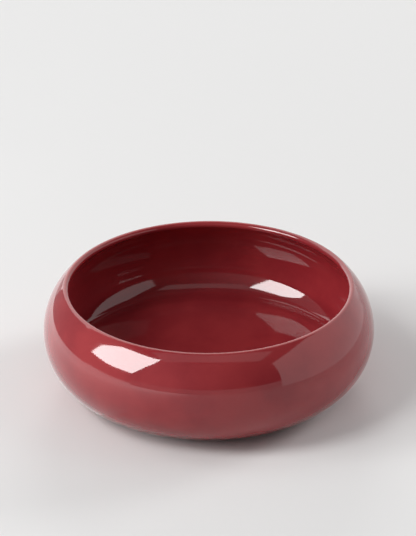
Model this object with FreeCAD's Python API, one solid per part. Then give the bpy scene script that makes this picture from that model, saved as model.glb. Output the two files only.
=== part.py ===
# Low, wide table bowl in glazed stoneware: a clay wall of even thickness that swells out from
# the foot to a full belly and curls back in to a half-round lip. Inside, the floor is a shallow
# dish that meets the wall in a small cove, so the clay is thicker under that corner.
# The clay is covered by three separate films of glaze, and only its foot ring is left bare.
# Millimetres. +Z is up, on the bowl's axis. The origin is the centre of the plane it stands on.

import FreeCAD
import Part
import math
import os

# Overall sizes, measured over the glaze
bowl_diameter = 300.0     # across the belly at its widest
bowl_height = 100.0       # from the standing plane to the top of the lip
belly_height = 56.0       # how high the widest line of the belly is
lip_setback = 20.5        # how far the middle of the lip stands in from the widest line

# Wall
clay_thickness = 5.4      # fired clay of the wall, from the cove up to the lip
glaze_thickness = 0.5     # glaze on each side of the clay

# Inside floor, measured on the face of the glaze
floor_thickness = 7.5     # on the axis, from the glazed underside up to the floor
dish_radius = 650.0       # sweep of the shallow dish
cove_radius = 12.0        # cove where the dish turns up into the wall

# Foot ring under the floor
foot_height = 3.0         # from the standing plane up to the glazed underside
foot_setback = 6.0        # from the edge of the flat underside in to the ring
foot_width = 7.0          # radial width of the ring
foot_fillet = 1.3         # clay fillet where the ring grows out of the underside
foot_edge_radius = 0.8    # rounding of the ring's two standing edges
bare_foot_height = 1.0    # bare clay left between the standing plane and the glaze

# The bowl's curves, worked out from the sizes above
belly_radius = bowl_diameter / 2
wall_thickness = clay_thickness + 2 * glaze_thickness
lip_radius = wall_thickness / 2
lip_x = belly_radius - lip_setback
lip_z = bowl_height - lip_radius

base_radius = belly_height - foot_height      # arc from the flat underside up to the belly
flat_radius = belly_radius - base_radius      # edge of the flat underside, and the arc's centre

# The shoulder arc starts upright at the belly, and its mid-wall line ends in the lip's centre.
mid_belly = belly_radius - lip_radius
lip_run = mid_belly - lip_x
lip_rise = lip_z - belly_height
shoulder_radius = (lip_run ** 2 + lip_rise ** 2) / (2 * lip_run) + lip_radius
shoulder_x = belly_radius - shoulder_radius
lip_angle = math.degrees(math.atan2(lip_rise, lip_x - shoulder_x))

# The cove's centre keeps one distance from the base arc's centre and another from the dish's,
# so that the cove runs smoothly into both.
dish_z = foot_height + floor_thickness + dish_radius
cove_to_base = base_radius - wall_thickness - cove_radius
cove_to_dish = dish_radius - cove_radius
dish_rise = dish_z - belly_height
base_to_dish = math.hypot(flat_radius, dish_rise)
along = (cove_to_base ** 2 - cove_to_dish ** 2 + base_to_dish ** 2) / (2 * base_to_dish)
across = math.sqrt(cove_to_base ** 2 - along ** 2)
cove_x = flat_radius + (across * dish_rise - along * flat_radius) / base_to_dish
cove_z = belly_height + (along * dish_rise + across * flat_radius) / base_to_dish
dish_angle = math.degrees(math.atan2(cove_z - dish_z, cove_x))
cove_angle = math.degrees(math.atan2(cove_z - belly_height, cove_x - flat_radius))

foot_outer = flat_radius - foot_setback
foot_inner = foot_outer - foot_width
clay_underside = foot_height + glaze_thickness

# Depth of the outside's two skins below the face of its glaze
outer_glaze_face = 0.0
outer_clay_face = glaze_thickness


def point(x, z):
    return FreeCAD.Vector(x, 0, z)


def line(start, end):
    return Part.LineSegment(point(*start), point(*end)).toShape()


def arc(centre_x, centre_z, radius, start_angle, end_angle):
    """Arc about a centre, from one angle to another, in degrees up from outwards."""
    def at(angle):
        turn = math.radians(angle)
        return point(centre_x + radius * math.cos(turn), centre_z + radius * math.sin(turn))

    middle_angle = (start_angle + end_angle) / 2
    return Part.Arc(at(start_angle), at(middle_angle), at(end_angle)).toShape()


def turn_on_axis(edges):
    """Solid of revolution about +Z of a closed outline."""
    outline = Part.Face(Part.Wire(Part.__sortEdges__(edges)))
    return outline.revolve(FreeCAD.Vector(0, 0, 0), FreeCAD.Vector(0, 0, 1), 360)


def wall_line(depth):
    """Base arc and shoulder arc of the outside, this deep below the face of the glaze."""
    base = arc(flat_radius, belly_height, base_radius - depth, -90, 0)
    shoulder = arc(shoulder_x, belly_height, shoulder_radius - depth, 0, lip_angle)
    return [base, shoulder]


def floor_line(film):
    """Dish, cove, base arc and shoulder arc of the inside, from the axis up to the lip.

    film is how far the line lies off the clay: 0 for the clay, glaze_thickness for the glaze.
    """
    under_face = glaze_thickness - film
    base = base_radius - wall_thickness + under_face
    shoulder = shoulder_radius - wall_thickness + under_face
    return [
        arc(0, dish_z, dish_radius + under_face, -90, dish_angle),
        arc(cove_x, cove_z, cove_radius + under_face, dish_angle, cove_angle),
        arc(flat_radius, belly_height, base, cove_angle, 0),
        arc(shoulder_x, belly_height, shoulder, 0, lip_angle),
    ]


def lip_line(depth, start_angle, end_angle):
    """Part of the half-round that closes the wall at the lip."""
    return arc(lip_x, lip_z, lip_radius - depth, start_angle, end_angle)


def foot_line(side, ring_x, film):
    """Underside, fillet and upright of one side of the foot ring, down to the glaze line.

    side is 1 for the ring's outer side and -1 for its inner side. film is how far the line
    lies off the clay: 0 for the clay itself, glaze_thickness for the face of the glaze.
    """
    underside_z = clay_underside - film
    fillet_x = ring_x + side * foot_fillet
    fillet_z = clay_underside - foot_fillet
    upright_x = ring_x + side * film
    start_angle = 90
    end_angle = 180 if side > 0 else 0
    fillet = arc(fillet_x, fillet_z, foot_fillet - film, start_angle, end_angle)
    far_x = flat_radius if side > 0 else 0
    underside = line((far_x, underside_z), (fillet_x, underside_z))
    upright = line((upright_x, fillet_z), (upright_x, bare_foot_height + film))
    return [underside, fillet, upright]


def glaze_roll(side, ring_x):
    """Rounded edge in which a film of glaze ends on the side of the foot ring."""
    end_angle = 0 if side > 0 else -180
    return arc(ring_x, bare_foot_height + glaze_thickness, glaze_thickness, -90, end_angle)


def clay_stop(ring_x):
    """Strip of clay that lies behind the glaze's rounded edge."""
    return line((ring_x, bare_foot_height), (ring_x, bare_foot_height + glaze_thickness))


def make_clay_body():
    """The clay as it leaves the kiln: floor, wall, lip and foot ring in one piece."""
    floor_z = foot_height + floor_thickness - glaze_thickness
    edges = [line((0, clay_underside), (0, floor_z))]
    edges += floor_line(0)
    edges += [lip_line(outer_clay_face, lip_angle, lip_angle + 180)]
    edges += wall_line(outer_clay_face)
    edge = foot_edge_radius
    for side, ring_x in ((1, foot_outer), (-1, foot_inner)):
        edges += foot_line(side, ring_x, 0)
        edges += [line((ring_x, bare_foot_height), (ring_x, edge)), clay_stop(ring_x)]
        end_angle = 0 if side > 0 else -180
        edges += [arc(ring_x - side * edge, edge, edge, -90, end_angle)]
    edges += [line((foot_outer - edge, 0), (foot_inner + edge, 0))]
    return turn_on_axis(edges)


def make_inside_glaze():
    """Glaze over the floor and up the inside of the wall to the crest of the lip."""
    glaze_z = foot_height + floor_thickness
    edges = [line((0, glaze_z - glaze_thickness), (0, glaze_z))]
    for film in (0, glaze_thickness):
        edges += floor_line(film)
    for depth in (outer_glaze_face, outer_clay_face):
        edges += [lip_line(depth, 90, lip_angle + 180)]
    edges += [line((lip_x, bowl_height - outer_clay_face), (lip_x, bowl_height))]
    return turn_on_axis(edges)


def make_outside_glaze():
    """Glaze from the crest of the lip, round the belly and under it to the foot ring."""
    edges = [line((lip_x, bowl_height - outer_clay_face), (lip_x, bowl_height))]
    for depth in (outer_glaze_face, outer_clay_face):
        edges += [lip_line(depth, lip_angle, 90)]
        edges += wall_line(depth)
    for film in (0, glaze_thickness):
        edges += foot_line(1, foot_outer, film)
    edges += [glaze_roll(1, foot_outer), clay_stop(foot_outer)]
    return turn_on_axis(edges)


def make_underside_glaze():
    """Round pool of glaze in the recess inside the foot ring."""
    edges = [line((0, clay_underside), (0, foot_height))]
    for film in (0, glaze_thickness):
        edges += foot_line(-1, foot_inner, film)
    edges += [glaze_roll(-1, foot_inner), clay_stop(foot_inner)]
    return turn_on_axis(edges)


pieces = {
    "clay_body": make_clay_body(),
    "inside_glaze": make_inside_glaze(),
    "outside_glaze": make_outside_glaze(),
    "underside_glaze": make_underside_glaze(),
}

os.makedirs("parts", exist_ok=True)
for name, shape in pieces.items():
    if not shape.isValid() or shape.Volume <= 0:
        raise ValueError(name + " is not a sound solid")
    shape.exportStep("parts/" + name + ".step")
    print(name, round(shape.Volume / 1000, 2), "cm3")
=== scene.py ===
import math

import bmesh
import bpy
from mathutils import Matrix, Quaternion, Vector


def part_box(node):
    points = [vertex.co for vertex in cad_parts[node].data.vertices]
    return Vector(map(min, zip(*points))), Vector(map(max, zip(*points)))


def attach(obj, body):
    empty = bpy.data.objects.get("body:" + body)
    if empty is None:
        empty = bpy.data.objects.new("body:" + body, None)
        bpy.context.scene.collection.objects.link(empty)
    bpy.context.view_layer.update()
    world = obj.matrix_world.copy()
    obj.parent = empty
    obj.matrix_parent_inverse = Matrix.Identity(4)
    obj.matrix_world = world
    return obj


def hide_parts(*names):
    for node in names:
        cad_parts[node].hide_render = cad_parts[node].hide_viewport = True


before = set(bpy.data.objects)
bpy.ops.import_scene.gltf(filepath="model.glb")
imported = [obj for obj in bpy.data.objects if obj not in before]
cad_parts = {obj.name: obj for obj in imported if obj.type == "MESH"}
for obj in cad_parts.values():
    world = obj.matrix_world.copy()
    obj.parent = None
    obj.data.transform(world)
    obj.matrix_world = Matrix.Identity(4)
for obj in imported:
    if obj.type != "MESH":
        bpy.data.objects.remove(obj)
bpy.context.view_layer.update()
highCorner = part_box("outside_glaze")[1]
bowlRadius = highCorner.x  # widest line of the belly
bowlTop = highCorner.z  # crest of the lip
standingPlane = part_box("clay_body")[0].z
print("frame loaded, bowl radius", round(bowlRadius, 4), "height", round(bowlTop, 4))

# Section of the bowl, in metres. Every curve below is worked out from these.
section = {
    "bellyHeight": 0.056,
    "lipSetback": 0.0205,
    "clayThickness": 0.0054,
    "glazeThickness": 0.0005,
    "footHeight": 0.003,
    "footSetback": 0.006,
    "footWidth": 0.007,
    "footFillet": 0.0013,
    "footEdgeRadius": 0.0008,
    "bareFootHeight": 0.001,
    "floorThickness": 0.0075,
    "dishRadius": 0.65,
    "coveRadius": 0.012,
}
wall = section["clayThickness"] + 2 * section["glazeThickness"]
glaze = section["glazeThickness"]
bellyZ = section["bellyHeight"]
lipRadius = wall / 2
lipX = bowlRadius - section["lipSetback"]
lipZ = bowlTop - lipRadius
baseRadius = bellyZ - section["footHeight"]
flatRadius = bowlRadius - baseRadius
lipRun = bowlRadius - lipRadius - lipX
lipRise = lipZ - bellyZ
shoulderRadius = (lipRun ** 2 + lipRise ** 2) / (2 * lipRun) + lipRadius
shoulderX = bowlRadius - shoulderRadius
lipAngle = math.degrees(math.atan2(lipRise, lipX - shoulderX))

# the cove's centre keeps one distance from the base arc's centre and another from the dish's
floorZ = section["footHeight"] + section["floorThickness"]
coveRadius = section["coveRadius"]
dishZ = floorZ + section["dishRadius"]
coveToBase = baseRadius - wall - coveRadius
coveToDish = section["dishRadius"] - coveRadius
dishRise = dishZ - bellyZ
baseToDish = math.hypot(flatRadius, dishRise)
along = (coveToBase ** 2 - coveToDish ** 2 + baseToDish ** 2) / (2 * baseToDish)
across = math.sqrt(coveToBase ** 2 - along ** 2)
coveX = flatRadius + (across * dishRise - along * flatRadius) / baseToDish
coveZ = bellyZ + (along * dishRise + across * flatRadius) / baseToDish
dishTurn = math.degrees(math.atan2(coveX, dishZ - coveZ))
wallTurn = math.degrees(math.atan2(bellyZ - coveZ, coveX - flatRadius))
coveTurn = 90 - dishTurn - wallTurn

footOuter = flatRadius - section["footSetback"]
footInner = footOuter - section["footWidth"]
clayUnderside = section["footHeight"] + glaze

# How finely the pieces are cut. Steps of arcs are in degrees, and straights are cut in pieces.
fineness = {
    "roundSteps": 256,
    "arcStep": 2.6,
    "dishStep": 0.8,
    "lipStep": 6.0,
    "seamAngle": 0.25,
    "filletStep": 15,
    "rollStep": 18,
    "undersidePieces": 10,
    "clayPieces": 8,
    "ringPieces": 5,
    "shortPieces": 2,
    "sharpAngle": 40,
    "mergeDistance": 1e-7,
}


def startLine(mesh, x, z):
    return mesh.verts.new((x, 0, z))


def lineTo(mesh, end, x, z, pieces=1):
    # carries the outline straight on from its last point, in equal pieces
    step = (Vector((x, 0, z)) - end.co) / pieces
    for _ in range(pieces):
        end = bmesh.ops.extrude_vert_indiv(mesh, verts=[end])["verts"][0]
        bmesh.ops.translate(mesh, verts=[end], vec=step)
    return end


def arcTo(mesh, end, centreX, centreZ, degrees, stepDegrees):
    # carries the outline on round a centre; positive degrees turn up from outwards
    steps = max(1, round(abs(degrees) / stepDegrees))
    turned = bmesh.ops.spin(
        mesh,
        geom=[end],
        cent=(centreX, 0, centreZ),
        axis=(0, -1, 0),
        angle=math.radians(degrees),
        steps=steps,
        use_duplicate=False,
    )
    return [v for v in turned["geom_last"] if isinstance(v, bmesh.types.BMVert)][0]


def turnOnAxis(mesh, name):
    # spins the outline a full turn about the bowl's axis and closes it
    bmesh.ops.spin(
        mesh,
        geom=mesh.verts[:] + mesh.edges[:],
        cent=(0, 0, 0),
        axis=(0, 0, 1),
        angle=2 * math.pi,
        steps=fineness["roundSteps"],
        use_merge=True,
    )
    bmesh.ops.remove_doubles(mesh, verts=mesh.verts[:], dist=fineness["mergeDistance"])
    bmesh.ops.recalc_face_normals(mesh, faces=mesh.faces[:])
    for face in mesh.faces:
        face.smooth = True
    sharp = math.radians(fineness["sharpAngle"])
    for edge in mesh.edges:
        if len(edge.link_faces) == 2 and edge.calc_face_angle() > sharp:
            edge.smooth = False  # the film's own sharp rims
    data = bpy.data.meshes.new(name)
    mesh.to_mesh(data)
    mesh.free()
    piece = bpy.data.objects.new(name, data)
    bpy.context.scene.collection.objects.link(piece)
    print("built", name, len(data.polygons), "faces")
    return piece


def floorAndWall(mesh, end):
    # dish, cove, base arc and shoulder of the inside, from the axis up to the lip
    end = arcTo(mesh, end, 0, dishZ, dishTurn, fineness["dishStep"])
    end = arcTo(mesh, end, coveX, coveZ, coveTurn, fineness["arcStep"])
    end = arcTo(mesh, end, flatRadius, bellyZ, wallTurn, fineness["arcStep"])
    return arcTo(mesh, end, shoulderX, bellyZ, lipAngle, fineness["arcStep"])


def buildInsideGlaze():
    # closed film: along its free face from the floor to the crest, and back along the clay
    mesh = bmesh.new()
    end = floorAndWall(mesh, startLine(mesh, 0, floorZ))
    seam = fineness["seamAngle"]
    end = arcTo(mesh, end, lipX, lipZ, -(90 + lipAngle - seam), fineness["lipStep"])
    end = arcTo(mesh, end, lipX, lipZ, -seam, seam)
    end = lineTo(mesh, end, lipX, bowlTop - glaze)
    end = arcTo(mesh, end, lipX, lipZ, 90 + lipAngle, fineness["lipStep"])
    end = arcTo(mesh, end, shoulderX, bellyZ, -lipAngle, fineness["arcStep"])
    end = arcTo(mesh, end, flatRadius, bellyZ, -wallTurn, fineness["arcStep"])
    end = arcTo(mesh, end, coveX, coveZ, -coveTurn, fineness["arcStep"])
    arcTo(mesh, end, 0, dishZ, -dishTurn, fineness["dishStep"])
    return turnOnAxis(mesh, "insideGlaze")


def buildOutsideGlaze():
    mesh = bmesh.new()
    filletStep = fineness["filletStep"]
    short = fineness["shortPieces"]
    seam = fineness["seamAngle"]
    filletZ = clayUnderside - section["footFillet"]
    filletX = footOuter + section["footFillet"]
    rollZ = section["bareFootHeight"] + glaze
    end = startLine(mesh, lipX, bowlTop)
    end = arcTo(mesh, end, lipX, lipZ, -seam, seam)
    end = arcTo(mesh, end, lipX, lipZ, -(90 - lipAngle - seam), fineness["lipStep"])
    end = arcTo(mesh, end, shoulderX, bellyZ, -lipAngle, fineness["arcStep"])
    end = arcTo(mesh, end, flatRadius, bellyZ, -90, fineness["arcStep"])
    end = lineTo(mesh, end, filletX, clayUnderside - glaze, short)
    end = arcTo(mesh, end, filletX, filletZ, 90, filletStep)
    end = lineTo(mesh, end, footOuter + glaze, rollZ)
    end = arcTo(mesh, end, footOuter, rollZ, -90, fineness["rollStep"])
    end = lineTo(mesh, end, footOuter, filletZ, short)
    end = arcTo(mesh, end, filletX, filletZ, -90, filletStep)
    end = lineTo(mesh, end, flatRadius, clayUnderside, short)
    end = arcTo(mesh, end, flatRadius, bellyZ, 90, fineness["arcStep"])
    end = arcTo(mesh, end, shoulderX, bellyZ, lipAngle, fineness["arcStep"])
    end = arcTo(mesh, end, lipX, lipZ, 90 - lipAngle, fineness["lipStep"])
    lineTo(mesh, end, lipX, bowlTop)
    return turnOnAxis(mesh, "outsideGlaze")


def buildUndersideGlaze():
    mesh = bmesh.new()
    filletStep = fineness["filletStep"]
    short = fineness["shortPieces"]
    straight = fineness["undersidePieces"]
    filletZ = clayUnderside - section["footFillet"]
    filletX = footInner - section["footFillet"]
    rollZ = section["bareFootHeight"] + glaze
    end = startLine(mesh, 0, clayUnderside - glaze)
    end = lineTo(mesh, end, filletX, clayUnderside - glaze, straight)
    end = arcTo(mesh, end, filletX, filletZ, -90, filletStep)
    end = lineTo(mesh, end, footInner - glaze, rollZ)
    end = arcTo(mesh, end, footInner, rollZ, 90, fineness["rollStep"])
    end = lineTo(mesh, end, footInner, filletZ, short)
    end = arcTo(mesh, end, filletX, filletZ, 90, filletStep)
    lineTo(mesh, end, 0, clayUnderside, straight)
    return turnOnAxis(mesh, "undersideGlaze")


def buildClayBody():
    mesh = bmesh.new()
    filletStep = fineness["filletStep"]
    short = fineness["shortPieces"]
    edge = section["footEdgeRadius"]
    fillet = section["footFillet"]
    filletZ = clayUnderside - fillet
    end = floorAndWall(mesh, startLine(mesh, 0, floorZ - glaze))
    end = arcTo(mesh, end, lipX, lipZ, -180, fineness["lipStep"])
    end = arcTo(mesh, end, shoulderX, bellyZ, -lipAngle, fineness["arcStep"])
    end = arcTo(mesh, end, flatRadius, bellyZ, -90, fineness["arcStep"])
    end = lineTo(mesh, end, footOuter + fillet, clayUnderside, short)
    end = arcTo(mesh, end, footOuter + fillet, filletZ, 90, filletStep)
    end = lineTo(mesh, end, footOuter, standingPlane + edge, short)
    end = arcTo(mesh, end, footOuter - edge, standingPlane + edge, -90, filletStep)
    end = lineTo(mesh, end, footInner + edge, standingPlane, fineness["ringPieces"])
    end = arcTo(mesh, end, footInner + edge, standingPlane + edge, -90, filletStep)
    end = lineTo(mesh, end, footInner, filletZ, short)
    end = arcTo(mesh, end, footInner - fillet, filletZ, 90, filletStep)
    lineTo(mesh, end, 0, clayUnderside, fineness["clayPieces"])
    return turnOnAxis(mesh, "clayBody")


# Burgundy gloss glaze over the clay. Lengths are in metres.
glazeFinish = {
    "deep": (0.232, 0.0190, 0.0250, 1),
    "bright": (0.305, 0.0300, 0.0345, 1),
    # lighter red of the painted highlight on the lip's crest
    "lipHighlight": (0.36, 0.045, 0.042, 1),
    "pooled": (0.15, 0.0088, 0.0135, 1),
    "speck": (0.055, 0.006, 0.008, 1),
    "cloudSize": 0.055,
    "cloudRange": (0.36, 0.66),
    "cloudShare": 0.72,
    "mottleSize": 0.0035,
    "mottleShare": 0.35,
    # width and strength of the painted lip highlight
    "lipWidth": 0.0022,
    "lipShare": 0.55,
    "poolWidth": 0.004,
    "poolShare": 0.4,
    "speckSpacing": 0.009,
    "speckSize": 0.00035,
    "speckChance": (0.72, 0.74),
    "speckShare": 0.6,
    "roughness": (0.035, 0.075),
    "waveSize": 0.014,
    "waveHeight": 0.000018,
    "peelSize": 0.0028,
    "peelHeight": 0.0000022,
    "ior": 1.5,
}


class nodeHand:
    # adds nodes to one material and joins them up
    def __init__(self, name):
        self.material = bpy.data.materials.new(name)
        self.material.use_nodes = True
        self.nodes = self.material.node_tree.nodes
        self.links = self.material.node_tree.links
        self.shader = self.nodes["Principled BSDF"]
        self.place = self.nodes.new("ShaderNodeTexCoord").outputs["Object"]
        parts = self.nodes.new("ShaderNodeSeparateXYZ")
        self.links.new(self.place, parts.inputs["Vector"])
        self.x, self.y, self.height = (parts.outputs[axis] for axis in "XYZ")

    def feed(self, socket, value):
        if hasattr(value, "is_output"):
            self.links.new(value, socket)
        else:
            socket.default_value = value

    def maths(self, operation, first, second=0.0, third=0.0):
        node = self.nodes.new("ShaderNodeMath")
        node.operation = operation
        for socket, value in zip(node.inputs, (first, second, third)):
            self.feed(socket, value)
        return node.outputs[0]

    def span(self, value, low, high, fromZero=0.0, toOne=1.0):
        # spreads a value smoothly over a range
        node = self.nodes.new("ShaderNodeMapRange")
        node.interpolation_type = "SMOOTHSTEP"
        for socket, number in zip(node.inputs, (value, low, high, fromZero, toOne)):
            self.feed(socket, number)
        return node.outputs["Result"]

    def noise(self, size, detail=3.0, roughness=0.5):
        node = self.nodes.new("ShaderNodeTexNoise")
        self.links.new(self.place, node.inputs["Vector"])
        node.inputs["Scale"].default_value = 1 / size
        node.inputs["Detail"].default_value = detail
        node.inputs["Roughness"].default_value = roughness
        return node.outputs["Fac"]

    def cells(self, spacing):
        # distance to the nearest of many scattered points, in metres
        node = self.nodes.new("ShaderNodeTexVoronoi")
        self.links.new(self.place, node.inputs["Vector"])
        node.inputs["Scale"].default_value = 1 / spacing
        return self.maths("MULTIPLY", node.outputs["Distance"], spacing), node.outputs["Color"]

    def mix(self, share, first, second):
        node = self.nodes.new("ShaderNodeMix")
        node.data_type = "RGBA"
        self.feed(node.inputs[0], share)
        self.feed(node.inputs[6], first)
        self.feed(node.inputs[7], second)
        return node.outputs[2]

    def bump(self, height, distance, normal=None):
        node = self.nodes.new("ShaderNodeBump")
        self.links.new(height, node.inputs["Height"])
        node.inputs["Distance"].default_value = distance
        node.inputs["Strength"].default_value = 1.0
        if normal:
            self.links.new(normal, node.inputs["Normal"])
        return node.outputs["Normal"]

    def radius(self):
        # distance from the bowl's axis
        square = self.maths("MULTIPLY_ADD", self.x, self.x, self.maths("MULTIPLY", self.y, self.y))
        return self.maths("SQRT", square)


def makeGlaze():
    finish = glazeFinish
    hand = nodeHand("burgundyGlaze")
    clouds = hand.span(hand.noise(finish["cloudSize"]), *finish["cloudRange"])
    mottle = hand.noise(finish["mottleSize"], roughness=0.6)
    cloudTone = hand.maths("MULTIPLY", clouds, finish["cloudShare"])
    tone = hand.maths("MULTIPLY_ADD", mottle, finish["mottleShare"], cloudTone)
    colour = hand.mix(tone, finish["deep"], finish["bright"])
    # a painted highlight: the lip's crest is painted lighter all round, like glaze drawn thin over it; the
    # glaze runs down to pool in the cove
    radius = hand.radius()
    fromLip = hand.maths("ABSOLUTE", hand.maths("SUBTRACT", radius, lipX))
    high = hand.span(hand.height, bowlTop - lipRadius, bowlTop)
    near = hand.span(fromLip, 0.0, finish["lipWidth"], finish["lipShare"], 0.0)
    lipHighlight = hand.maths("MULTIPLY", high, near)
    colour = hand.mix(lipHighlight, colour, finish["lipHighlight"])
    beside = hand.maths("SUBTRACT", radius, coveX)
    above = hand.maths("SUBTRACT", hand.height, coveZ)
    square = hand.maths("MULTIPLY_ADD", beside, beside, hand.maths("MULTIPLY", above, above))
    fromCove = hand.maths("SQRT", square)
    poolEdge = coveRadius + finish["poolWidth"]
    pool = hand.span(fromCove, coveRadius, poolEdge, finish["poolShare"], 0.0)
    colour = hand.mix(pool, colour, finish["pooled"])
    # a few pinhead specks of iron show through
    distance, chance = hand.cells(finish["speckSpacing"])
    rare = hand.span(chance, *finish["speckChance"])
    size = finish["speckSize"]
    dot = hand.span(distance, size / 2, size, finish["speckShare"], 0.0)
    speck = hand.maths("MULTIPLY", rare, dot)
    colour = hand.mix(speck, colour, finish["speck"])
    hand.links.new(colour, hand.shader.inputs["Base Color"])
    smooth, dull = finish["roughness"]
    hand.links.new(hand.span(clouds, 0.0, 1.0, smooth, dull), hand.shader.inputs["Roughness"])
    waves = hand.bump(hand.noise(finish["waveSize"], detail=1.0), finish["waveHeight"])
    peel = hand.bump(hand.noise(finish["peelSize"], detail=1.0), finish["peelHeight"], waves)
    hand.links.new(peel, hand.shader.inputs["Normal"])
    hand.shader.inputs["IOR"].default_value = finish["ior"]
    return hand.material


# Bare fired clay of the foot ring
clayFinish = {
    "pale": (0.60, 0.46, 0.33, 1),
    "warm": (0.47, 0.33, 0.22, 1),
    "grog": (0.26, 0.16, 0.10, 1),
    "cloudSize": 0.012,
    "cloudShare": 0.6,
    "grainSize": 0.0006,
    "grainShare": 0.4,
    "grainRange": (0.3, 0.7),
    "toneRange": (0.35, 0.65),
    "grogSpacing": 0.0022,
    "grogSize": 0.00035,
    "grogChance": (0.5, 0.55),
    "grogShare": 0.8,
    "roughness": (0.78, 0.95),
    "grainHeight": 0.00006,
    "specular": 0.3,
}


def makeClay():
    finish = clayFinish
    hand = nodeHand("bareStoneware")
    clouds = hand.noise(finish["cloudSize"])
    grain = hand.noise(finish["grainSize"], roughness=0.65)
    grainTone = hand.maths("MULTIPLY", grain, finish["grainShare"])
    tone = hand.maths("MULTIPLY_ADD", clouds, finish["cloudShare"], grainTone)
    tone = hand.span(tone, *finish["toneRange"])
    colour = hand.mix(tone, finish["warm"], finish["pale"])
    distance, chance = hand.cells(finish["grogSpacing"])
    size = finish["grogSize"]
    grog = hand.span(distance, size / 2, size, finish["grogShare"], 0.0)
    grog = hand.maths("MULTIPLY", grog, hand.span(chance, *finish["grogChance"]))
    hand.links.new(hand.mix(grog, colour, finish["grog"]), hand.shader.inputs["Base Color"])
    smooth, dull = finish["roughness"]
    roughness = hand.span(grain, *finish["grainRange"], smooth, dull)
    hand.links.new(roughness, hand.shader.inputs["Roughness"])
    hand.links.new(hand.bump(grain, finish["grainHeight"]), hand.shader.inputs["Normal"])
    hand.shader.inputs["Specular IOR Level"].default_value = finish["specular"]
    return hand.material


glazeMaterial = makeGlaze()
clayMaterial = makeClay()
insideGlaze = buildInsideGlaze()
outsideGlaze = buildOutsideGlaze()
undersideGlaze = buildUndersideGlaze()
clayBody = buildClayBody()
for piece in (insideGlaze, outsideGlaze, undersideGlaze):
    piece.data.materials.append(glazeMaterial)
    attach(piece, "root")
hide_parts("inside_glaze")
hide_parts("outside_glaze")
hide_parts("underside_glaze")
clayBody.data.materials.append(clayMaterial)
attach(clayBody, "root")
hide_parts("clay_body")
print("pieces placed")

# Studio: a pale floor, lamps that light it, and cards that only show in the glaze.
studio = {
    "floorSize": 5.6,
    "floorColour": (0.755, 0.751, 0.748, 1),
    "floorRoughness": 0.8,
    "floorSpecular": 0.1,
    "lampDistance": 3.5,
    "lampSize": 1.3,
}

# Bright part of the floor that the glaze mirrors on the left. Its glow fades along X.
floorGlow = {
    "low": (-1.5, -1.2),
    "high": (-0.1, 0.5),
    "height": 0.002,
    "start": {"x": -0.1, "strength": 0.75},
    "end": {"x": -0.45, "strength": 2.0},
}

# Azimuth and elevation that each lamp shines from, in degrees, and its share of the light.
lamps = {
    "lowKeyLamp": (-78, 20, 0.50),
    "highKeyLamp": (-60, 47, 0.40),
    "leftLamp": (-100, 45, 0.10),
    "backLamp": (180, 20, 0.28),
    "lowRightLamp": (118, 20, 0.42),
    "highRightLamp": (90, 50, 0.05),
    "frontLamp": (0, 50, 0.03),
}

# Each card has its brightness and a row of uprights: azimuth in degrees, distance from the
# bowl's axis, and the heights of its two edges. Azimuth 0 is the camera's side, and 90 is +X.
cards = {
    "softbox": (17.0, [
        (-82, 0.83, 0.27, 0.50),
        (-77, 0.83, 0.26, 0.64),
        (-72, 0.83, 0.25, 0.75),
        (-66, 0.83, 0.24, 0.79),
        (-49, 0.83, 0.25, 0.81),
        (-45, 0.83, 0.40, 0.81),
        (-40, 0.83, 0.62, 0.82),
        (-38, 0.83, 0.80, 0.82),
    ]),
    "rightReflector": (1.20, [(45, 0.89, 0, 0.6), (136, 0.90, 0, 0.6)]),
    "lowFrontCard": (0.56, [(azimuth, 1.2, 0, 0.153) for azimuth in (-50, -25, 0, 25, 50)]),
    "leftFlag": (0.42, [(-85, 1.6, 0, 0.9), (-110, 0.95, 0, 0.6), (-140, 0.64, 0, 0.4)]),
}
overheadStrip = {"strength": 0.6, "low": (-0.30, -0.46), "high": (0.35, -0.28), "height": 0.5}


def makeGlow(name, strength):
    material = bpy.data.materials.new(name)
    material.use_nodes = True
    nodes = material.node_tree.nodes
    nodes.clear()
    glow = nodes.new("ShaderNodeEmission")
    glow.inputs["Color"].default_value = (1, 1, 1, 1)
    glow.inputs["Strength"].default_value = strength
    output = nodes.new("ShaderNodeOutputMaterial")
    material.node_tree.links.new(glow.outputs["Emission"], output.inputs["Surface"])
    return material


def makePanel(name, faces, material):
    mesh = bmesh.new()
    for corners in faces:
        mesh.faces.new([mesh.verts.new(c) for c in corners])
    bmesh.ops.remove_doubles(mesh, verts=mesh.verts[:], dist=fineness["mergeDistance"])
    data = bpy.data.meshes.new(name)
    mesh.to_mesh(data)
    mesh.free()
    panel = bpy.data.objects.new(name, data)
    bpy.context.scene.collection.objects.link(panel)
    panel.data.materials.append(material)
    return panel


def level(low, high, height):
    # corners of a level rectangle
    return [(low[0], low[1], height), (high[0], low[1], height),
            (high[0], high[1], height), (low[0], high[1], height)]


def fadeGlow(material, start, end):
    # lets a card's glow fade along X from one strength to another
    nodes = material.node_tree.nodes
    links = material.node_tree.links
    parts = nodes.new("ShaderNodeSeparateXYZ")
    links.new(nodes.new("ShaderNodeTexCoord").outputs["Object"], parts.inputs["Vector"])
    spread = nodes.new("ShaderNodeMapRange")
    links.new(parts.outputs["X"], spread.inputs["Value"])
    spread.inputs["From Min"].default_value = start["x"]
    spread.inputs["To Min"].default_value = start["strength"]
    spread.inputs["From Max"].default_value = end["x"]
    spread.inputs["To Max"].default_value = end["strength"]
    links.new(spread.outputs["Result"], nodes["Emission"].inputs["Strength"])


def onlyMirrored(panel):
    # a card that is seen in the glaze, and nowhere else
    panel.visible_camera = False
    panel.visible_diffuse = False
    panel.visible_shadow = False
    panel.visible_transmission = False


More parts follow.
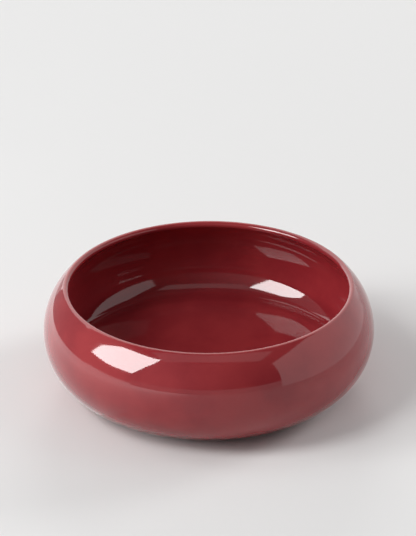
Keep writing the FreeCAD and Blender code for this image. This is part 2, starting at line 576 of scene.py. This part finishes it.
def buildFloor():
    material = bpy.data.materials.new("paleFloor")
    material.use_nodes = True
    shader = material.node_tree.nodes["Principled BSDF"]
    shader.inputs["Base Color"].default_value = studio["floorColour"]
    shader.inputs["Roughness"].default_value = studio["floorRoughness"]
    shader.inputs["Specular IOR Level"].default_value = studio["floorSpecular"]
    half = studio["floorSize"] / 2
    makePanel("studioFloor", [level((-half, -half), (half, half), 0)], material)


def edgesOfUpright(azimuth, distance, low, high):
    around = math.radians(azimuth)
    foot = Vector((math.sin(around), -math.cos(around), 0)) * distance
    return foot + Vector((0, 0, low)), foot + Vector((0, 0, high))


def buildCards():
    for name, (strength, uprights) in cards.items():
        pairs = [edgesOfUpright(*upright) for upright in uprights]
        faces = []
        for (low, high), (nextLow, nextHigh) in zip(pairs, pairs[1:]):
            faces.append([low, nextLow, nextHigh, high])
        onlyMirrored(makePanel(name, faces, makeGlow(name + "Cloth", strength)))
    glow = makeGlow("floorGlow", 1.0)
    fadeGlow(glow, floorGlow["start"], floorGlow["end"])
    corners = level(floorGlow["low"], floorGlow["high"], floorGlow["height"])
    onlyMirrored(makePanel("floorGlow", [corners], glow))
    cloth = makeGlow("stripCloth", overheadStrip["strength"])
    corners = level(overheadStrip["low"], overheadStrip["high"], overheadStrip["height"])
    onlyMirrored(makePanel("overheadStrip", [corners], cloth))


def buildLamps():
    distance = studio["lampDistance"]
    for name, (azimuth, elevation, share) in lamps.items():
        around = math.radians(azimuth)
        up = math.radians(elevation)
        towards = Vector((math.sin(around) * math.cos(up), -math.cos(around) * math.cos(up), math.sin(up)))
        data = bpy.data.lights.new(name, "AREA")
        data.shape = "DISK"
        data.size = studio["lampSize"]
        data.energy = share * (math.pi * distance) ** 2
        lamp = bpy.data.objects.new(name, data)
        bpy.context.scene.collection.objects.link(lamp)
        lamp.location = towards * distance
        lamp.rotation_euler = towards.to_track_quat("Z", "Y").to_euler()
        lamp.visible_glossy = False


# Greys around the bowl. Each ramp gives places along X, from -1 to 1, and the grey there.
surround = {
    "air": [(-1, 0.42), (-0.4, 0.3), (0, 0.14), (0.4, 0.04)],
    "wallBehind": [(-1, 3.4), (-0.3, 2.1), (0.3, 1.3)],
    "wallStart": 0.3,
    "overhead": 0.06,
    "overheadStart": 0.75,
    "fill": 0.27,
    "backdrop": 0.8,
}


def buildWorld():
    # what the glaze mirrors past the cards: dark air, and a bright wall behind
    world = bpy.data.worlds.new("studioAir")
    world.use_nodes = True
    bpy.context.scene.world = world
    nodes = world.node_tree.nodes
    links = world.node_tree.links
    nodes.clear()

    def number(operation, first, second, third=0.0):
        node = nodes.new("ShaderNodeMath")
        node.operation = operation
        for socket, value in zip(node.inputs, (first, second, third)):
            if hasattr(value, "is_output"):
                links.new(value, socket)
            else:
                socket.default_value = value
        return node.outputs[0]

    def ramp(value, stops):
        # the value runs from -1 to 1, and the ramp from 0 to 1
        node = nodes.new("ShaderNodeValToRGB")
        points = node.color_ramp.elements
        for index, (place, grey) in enumerate(stops):
            if index < 2:
                point = points[index]
                point.position = (place + 1) / 2
            else:
                point = points.new((place + 1) / 2)
            point.color = (grey, grey, grey, 1)
        links.new(number("MULTIPLY_ADD", value, 0.5, 0.5), node.inputs["Fac"])
        return node.outputs["Color"]

    def mix(share, first, second):
        node = nodes.new("ShaderNodeMix")
        node.data_type = "RGBA"
        links.new(share, node.inputs[0])
        for socket, value in ((node.inputs[6], first), (node.inputs[7], second)):
            if hasattr(value, "is_output"):
                links.new(value, socket)
            else:
                socket.default_value = (value, value, value, 1)
        return node.outputs[2]

    where = nodes.new("ShaderNodeTexCoord")
    split = nodes.new("ShaderNodeSeparateXYZ")
    links.new(where.outputs["Generated"], split.inputs["Vector"])
    x, y, z = (split.outputs[axis] for axis in "XYZ")
    overhead = number("GREATER_THAN", z, surround["overheadStart"])
    air = mix(overhead, ramp(x, surround["air"]), surround["overhead"])
    behind = number("GREATER_THAN", y, surround["wallStart"])
    mirrored = mix(behind, air, ramp(x, surround["wallBehind"]))
    rays = nodes.new("ShaderNodeLightPath")
    seen = mix(rays.outputs["Is Glossy Ray"], surround["fill"], mirrored)
    seen = mix(rays.outputs["Is Camera Ray"], seen, surround["backdrop"])
    back = nodes.new("ShaderNodeBackground")
    links.new(seen, back.inputs["Color"])
    back.inputs["Strength"].default_value = 1.0
    output = nodes.new("ShaderNodeOutputWorld")
    links.new(back.outputs["Background"], output.inputs["Surface"])


# The camera looks down at the bowl along +Y through a long lens.
view = {
    "pitch": 27.095,
    "roll": -0.293,
    "distance": 2.9372,
    "lens": 219.28,
    "sensor": 36,
    "farthest": 50,
    "aim": (-0.0004, 0, 0.11696),
}


def buildCamera():
    pitch = math.radians(view["pitch"])
    data = bpy.data.cameras.new("studioCamera")
    data.lens = view["lens"]
    data.sensor_width = view["sensor"]
    data.clip_end = view["farthest"]
    camera = bpy.data.objects.new("studioCamera", data)
    bpy.context.scene.collection.objects.link(camera)
    forward = Vector((0, math.cos(pitch), -math.sin(pitch)))
    camera.location = Vector(view["aim"]) - forward * view["distance"]
    camera.rotation_mode = "QUATERNION"
    roll = Quaternion((0, 0, 1), math.radians(view["roll"]))
    camera.rotation_quaternion = forward.to_track_quat("-Z", "Y") @ roll
    bpy.context.scene.camera = camera


buildFloor()
buildCards()
buildLamps()
buildWorld()
buildCamera()
bpy.context.scene.view_settings.view_transform = "Standard"
print("studio ready")
